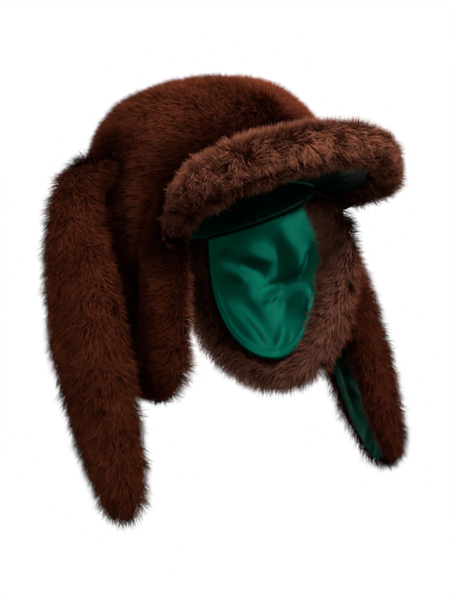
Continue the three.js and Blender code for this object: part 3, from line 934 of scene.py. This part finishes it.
def joinHairs(name, layers, rng):
    # one mesh of all the layers, with a cell of the map for every hair
    places, corners, starts, spots, strands, facings, kinds = [], [], [], [], [], [], []
    across = math.ceil(math.sqrt(sum(len(layer["tuft"]) for layer in layers)))
    firstHair = firstVertex = firstLoop = 0
    for layer in layers:
        rows, faces, heights, cell, facing = layer["blades"]
        count, size = rows.shape[:2]
        perHair = np.array([k for face in faces for k in face])
        sizes = np.cumsum([0] + [len(face) for face in faces])
        corners.append((firstVertex + np.arange(count)[:, None] * size + perHair).reshape(-1))
        starts.append((firstLoop + np.arange(count)[:, None] * sizes[-1] + sizes[:-1]).reshape(-1))
        number = firstHair + np.arange(count)
        corner = np.stack([number % across, number // across], 1)[:, None, :]
        spots.append(((corner + cell) / across)[:, perHair].reshape(-1, 2))
        strand = np.empty((count, size, 4))
        strand[:, :, 0] = heights
        strand[:, :, 1] = rng.random(count)[:, None]
        strand[:, :, 2] = layer["tuft"][:, None]
        strand[:, :, 3] = layer["open"][:, None]
        strands.append(strand.reshape(-1, 4))
        soft = layer["normals"] * (1 - blade["facing"]) + unit(facing) * blade["facing"]
        soft = unit(soft + rng.normal(0, blade["facingSpread"], (count, 3)))
        facings.append(np.repeat(soft, size, 0))
        kinds.append(np.repeat(layer["kind"], len(faces)))
        places.append(rows.reshape(-1, 3))
        firstHair += count
        firstVertex += count * size
        firstLoop += count * sizes[-1]

    mesh = bpy.data.meshes.new(name)
    places, corners, starts = np.concatenate(places), np.concatenate(corners), np.concatenate(starts)
    mesh.vertices.add(len(places))
    mesh.vertices.foreach_set("co", places.astype(np.float32).reshape(-1))
    mesh.loops.add(len(corners))
    mesh.loops.foreach_set("vertex_index", corners.astype(np.int32))
    mesh.polygons.add(len(starts))
    mesh.polygons.foreach_set("loop_start", starts.astype(np.int32))
    mesh.update(calc_edges=True)
    mesh.polygons.foreach_set("use_smooth", np.zeros(len(starts), bool))
    mesh.polygons.foreach_set("material_index", np.concatenate(kinds).astype(np.int32))
    mesh.uv_layers.new(name="OFBake")
    mesh.uv_layers["OFBake"].data.foreach_set("uv", np.concatenate(spots).astype(np.float32).reshape(-1))
    strand = mesh.color_attributes.new("strand", "FLOAT_COLOR", "POINT")
    strand.data.foreach_set("color", np.concatenate(strands).astype(np.float32).reshape(-1))
    outwards = mesh.attributes.new("outwards", "FLOAT_VECTOR", "POINT")
    outwards.data.foreach_set("vector", np.concatenate(facings).astype(np.float32).reshape(-1))
    return mesh


pileLayers = [  # long bent hairs over a finer, shorter undercoat
    {"share": 1.0, "bent": True, "length": 1.0, "width": 1.0},
    {"share": 2.0, "bent": False, "length": 0.86, "width": 0.9},
]


def finishFur(obj, nodeNames):
    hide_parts(*nodeNames)
    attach(obj, "root")


def makeSkin(name, nodeNames, look):
    # the skin's mesh, its faces that carry hairs, and how far each vertex is from satin and from other fur
    mesh = skinOf(name, nodeNames, look)
    free = openFaces(mesh, nodeNames, look["clear"])
    sinkSkin(mesh, free, look)
    toSatin = np.array([satinTree.find_nearest(v.co)[3] for v in mesh.vertices])
    furTree = treeOf([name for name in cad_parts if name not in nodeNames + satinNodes])
    toFur = np.array([furTree.find_nearest(v.co)[3] for v in mesh.vertices])
    free = free * (leastOfFaces(mesh, toSatin) > look["bareEdge"])
    mesh.materials.clear()
    mesh.materials.append(backing)
    mesh.polygons.foreach_set("use_smooth", np.ones(len(mesh.polygons), bool))
    skin = linked(name + "_skin", mesh)
    finishFur(skin, nodeNames)
    return {"mesh": mesh, "free": free, "toSatin": toSatin, "toFur": toFur}


def makePile(nodeName, skin, look, comb, materials, reach, light=None):
    rng = np.random.default_rng(look["seed"])
    layers = []
    for layer in pileLayers:
        density = look["density"] * layer["share"]
        distances = skin["toSatin"], skin["toFur"]
        roots, normals, toSatin, toFur = sampleRoots(skin["mesh"], skin["free"], distances, density, rng)
        lie = comb(roots)
        lie = unit(lie - (lie * normals).sum(1, keepdims=True) * normals)
        *points, tuft = growHairs(roots, normals, lie, reach(roots, toSatin, look), look, layer, rng)
        blades = bladesOf(points, normals, look["width"] * layer["width"], layer["bent"], rng)
        # painted shade near other fur, times the piece's own painted light and shade
        paintedLight = smoothStep(*look["creaseSize"], toFur)
        if light:
            paintedLight *= light(roots, normals)
        kind = np.zeros(len(roots), int)
        # the second material carries painted light
        if len(materials) > 1:  # the second one on the side that faces the head
            inward = -normals[:, 0] * np.sign(roots[:, 0])
            kind += rng.random(len(roots)) < smoothStep(*look["inward"], inward)
        layers.append({"blades": blades, "tuft": tuft, "normals": normals, "open": paintedLight, "kind": kind})
    hairs = linked(nodeName + "_pile", joinHairs(nodeName + "_pile", layers, rng))
    for material in materials:
        hairs.data.materials.append(material)
    finishFur(hairs, [nodeName])
    print("fur:", nodeName, "hairs", sum(len(x["tuft"]) for x in layers), "faces", len(hairs.data.polygons))


shellFur = {  # of the crown and the flaps
    "density": 500000,  # long hairs for each square metre; the undercoat has twice as many
    "seed": 11,
    "voxel": 0.006,
    "smoothing": 6,
    "smoothFactor": 0.6,
    "sink": 0.0065,
    "thinShare": 0.28,  # of the thickness, which the skin sinks at most
    "clear": 0.006,  # bare where another piece is nearer than this
    "bareEdge": 0.0022,  # bare where satin is nearer than this
    "besideSatin": 0.3,  # share of the length at the edge of the satin
    "satinEdge": 0.002,
    "satinClear": 0.014,  # full length from this far off the satin
    # creaseSize: where the painted shade near other fur is darkest and where it ends
    "creaseSize": (0.004, 0.042),  # distances from other fur where a hair is darkest and where it is plain
    "length": 0.0110,
    "lengthSpread": 0.22,
    "width": 0.00050,
    "lift": 0.74,  # 0 flat along the comb, 1 upright
    "liftSpread": 0.07,
    "stiffness": 0.75,  # share of the lift that the outer half keeps
    "tuft": 0.007,
    "tuftSway": 0.05,
    "tuftSpread": 0.2,  # share of the length between the shortest and the longest tuft
    "hairSway": 0.19,
    "driftSize": 0.06,
    "drift": 0.10,
    "gather": 0.09,  # how far a tip leans to the middle of its tuft
    "bendGather": 0.35,  # share of that at the bend
}
seam = {"wide": 0.0030, "dip": 0.4}  # between the crown's panels: dip is the share of the length it takes


def offSatin(points, toSatin, look):  # share of the full length: shorter beside satin
    return mix(look["besideSatin"], 1, smoothStep(look["satinEdge"], look["satinClear"], toSatin))


def combCrown(points):  # back over the top and down the sides
    return points * np.array([7, 0, 0]) + np.array([0, 0.4, -0.45])


def crownReach(points, toSatin, look):  # shorter along the seams between the panels
    across = (abs(points[:, 0]) - head["seamAt"]) / seam["wide"]
    return offSatin(points, toSatin, look) * (1 - seam["dip"] * np.exp(-across * across))


# The flaps' pile. Each pair says where a change begins and where it is full: y or z in metres
flapPile = {
    "frontEdge": (-0.024, -0.040),
    "backwards": {"all": 0.25, "front": 0.9},
    "frontHeight": (-0.095, -0.070),
    "frontReach": 1.35,
    "ending": (-0.05, -0.125),
    "endingLonger": 0.55,
}
farFlap = {
    "shadeEnd": (-0.060, -0.115),  # below it the flap hangs out of the peak's shade
    "frontEdge": (-0.015, -0.055),
    # brightness left by the painted shade on the upper flap, at its back and at its front
    "light": {"back": 0.5, "front": 0.95},
}
nearFlap = {
    "shadeEnd": (-0.070, -0.120),  # below it the flap hangs out of the ear's and the peak's shade
    # brightness left by the painted shade above shadeEnd
    "upperLight": 0.55,
    "cornerHeight": (-0.070, -0.105),
    "cornerFront": (-0.06, -0.09),
    "cornerLonger": 0.45,
    # a standing fold down the flap, a little behind its front edge, with shorter hairs and painted shade in
    # it
    "fold": {"at": -0.045, "wide": 0.0055, "end": (-0.105, -0.075), "dark": 0.65, "short": 0.5},
}


def combFlap(points):  # down and backwards, most along the front edge
    share = flapPile["backwards"]
    back = share["all"] + share["front"] * smoothStep(*flapPile["frontEdge"], points[:, 1])
    return np.stack([0 * back, back, -np.ones(len(back))], 1)


def farFlapReach(points, toSatin, look):  # long over the satin's front edge and at the lower end
    front = smoothStep(*flapPile["frontEdge"], points[:, 1])
    front *= smoothStep(*flapPile["frontHeight"], points[:, 2])
    ending = 1 + flapPile["endingLonger"] * smoothStep(*flapPile["ending"], points[:, 2])
    return mix(offSatin(points, toSatin, look), flapPile["frontReach"], front) * ending


def farFlapLight(points, normals):
    # painted shade: the upper flap darker in the peak's shade, most towards its back
    front = smoothStep(*farFlap["frontEdge"], points[:, 1])
    upper = mix(farFlap["light"]["back"], farFlap["light"]["front"], front)
    return mix(upper, 1, smoothStep(*farFlap["shadeEnd"], points[:, 2]))


def inFold(points):
    fold = nearFlap["fold"]
    across = (points[:, 1] - fold["at"]) / fold["wide"]
    return np.exp(-across * across) * smoothStep(*fold["end"], points[:, 2])


def nearFlapReach(points, toSatin, look):
    corner = smoothStep(*nearFlap["cornerHeight"], points[:, 2])
    corner *= smoothStep(*nearFlap["cornerFront"], points[:, 1])
    unfolded = 1 - nearFlap["fold"]["short"] * inFold(points)
    return offSatin(points, toSatin, look) * unfolded * (1 + nearFlap["cornerLonger"] * corner)


def nearFlapLight(points, normals):
    # painted shade: darker above shadeEnd and in the fold
    lower = smoothStep(*nearFlap["shadeEnd"], points[:, 2])
    return mix(nearFlap["upperLight"], 1, lower) * (1 - nearFlap["fold"]["dark"] * inFold(points))


def nearestNode(mesh, nodeNames):  # for each face, the number of the node that it belongs to
    trees = [treeOf([name]) for name in nodeNames]
    return np.array([min(range(len(trees)), key=lambda n: trees[n].find_nearest(face.center)[3])
                     for face in mesh.polygons])


crownStyle = {"look": shellFur, "comb": combCrown, "materials": (pile,), "reach": crownReach}
flapStyle = {"comb": combFlap, "materials": (pile, litPile)}
# "inward": how far hairs turn towards the head where the ones with painted light begin, and where all have it
shellPiles = {
    "crown_centre": crownStyle,
    "crown_side_right": crownStyle,
    "crown_side_left": crownStyle,
    "flap_fur_right": dict(flapStyle, look=dict(shellFur, inward=(0.5, 0.95)), reach=nearFlapReach,
                           light=nearFlapLight),
    "flap_fur_left": dict(flapStyle, look=dict(shellFur, inward=(-0.7, 0.1), creaseSize=(0.004, 0.020)),
                          reach=farFlapReach, light=farFlapLight),
}


def makeShellFur():
    names = list(shellPiles)
    skin = makeSkin("shell", names, shellFur)
    owner = nearestNode(skin["mesh"], names)
    for n, (nodeName, style) in enumerate(shellPiles.items()):
        part = dict(skin, free=skin["free"] * (owner == n))
        makePile(nodeName, part, **dict(style, look=dict(style["look"], seed=shellFur["seed"] + n)))


makeShellFur()
print("crown and flap fur ready")

peakFur = dict(shellFur, seed=21, density=600000, length=0.0140, lift=0.66, satinClear=0.025, tuft=0.009,
               tuftSway=0.22, gather=0.18, sink=0.0070, creaseSize=(0, 0.001))
peakShade = {  # pairs: how far hairs face +X and upwards where a change begins and where it is full
    # brightness left by the painted shade below the peak, and at its left end
    "below": 0.68,
    "leftEnd": 0.95,
    "leftFacing": (0.1, 0.7),
    "topFacing": (-0.2, 0.7),
}


def combPeak(points):  # out from the brow, and a little down
    return unit(points * np.array([1, 1, 0])) * 0.7 + np.array([0, 0, -0.1])


# painted light and shade: the peak's fur paler on top and at its left end, darker below
def peakLight(points, normals):  # paler on top and at the left end
    below = mix(peakShade["below"], peakShade["leftEnd"], smoothStep(*peakShade["leftFacing"], normals[:, 0]))
    return mix(below, 1, smoothStep(*peakShade["topFacing"], normals[:, 2]))


def makePeakFur():
    skin = makeSkin("peak_fur", ["peak_fur"], peakFur)
    makePile("peak_fur", skin, peakFur, combPeak, (lightestPile,), offSatin, peakLight)


makePeakFur()
print("peak fur ready")

earFur = dict(shellFur, seed=41, length=0.0140, lift=0.56, stiffness=0.7, tuft=0.008, tuftSway=0.08,
              creaseSize=(0.003, 0.042), besideSatin=1.3)
# painted shade: the ear's fur darker towards its lower end
earShade = {"light": (0.93, 0.72), "height": (-0.05, -0.20)}  # above the first height and below the second
earTip = {"longer": 0.05, "height": (-0.185, -0.215)}


def combEar(points):  # along the ear
    return np.broadcast_to(np.array([0, -0.3, -1.0]), points.shape)


def earReach(points, toSatin, look):  # long beside the satin, so that it is partly covered, and at the tip
    ending = 1 + earTip["longer"] * smoothStep(*earTip["height"], points[:, 2])
    return offSatin(points, toSatin, look) * ending


def earLight(points, normals):
    # painted shade, darker towards the ear's lower end
    return mix(*earShade["light"], smoothStep(*earShade["height"], points[:, 2]))


def makeEarFur(name, look):
    skin = makeSkin(name, [name], look)
    makePile(name, skin, look, combEar, (pile,), earReach, earLight)


for n, side in enumerate(("right", "left")):
    makeEarFur("ear_fur_" + side, dict(earFur, seed=earFur["seed"] + n))
print("ear fur ready")
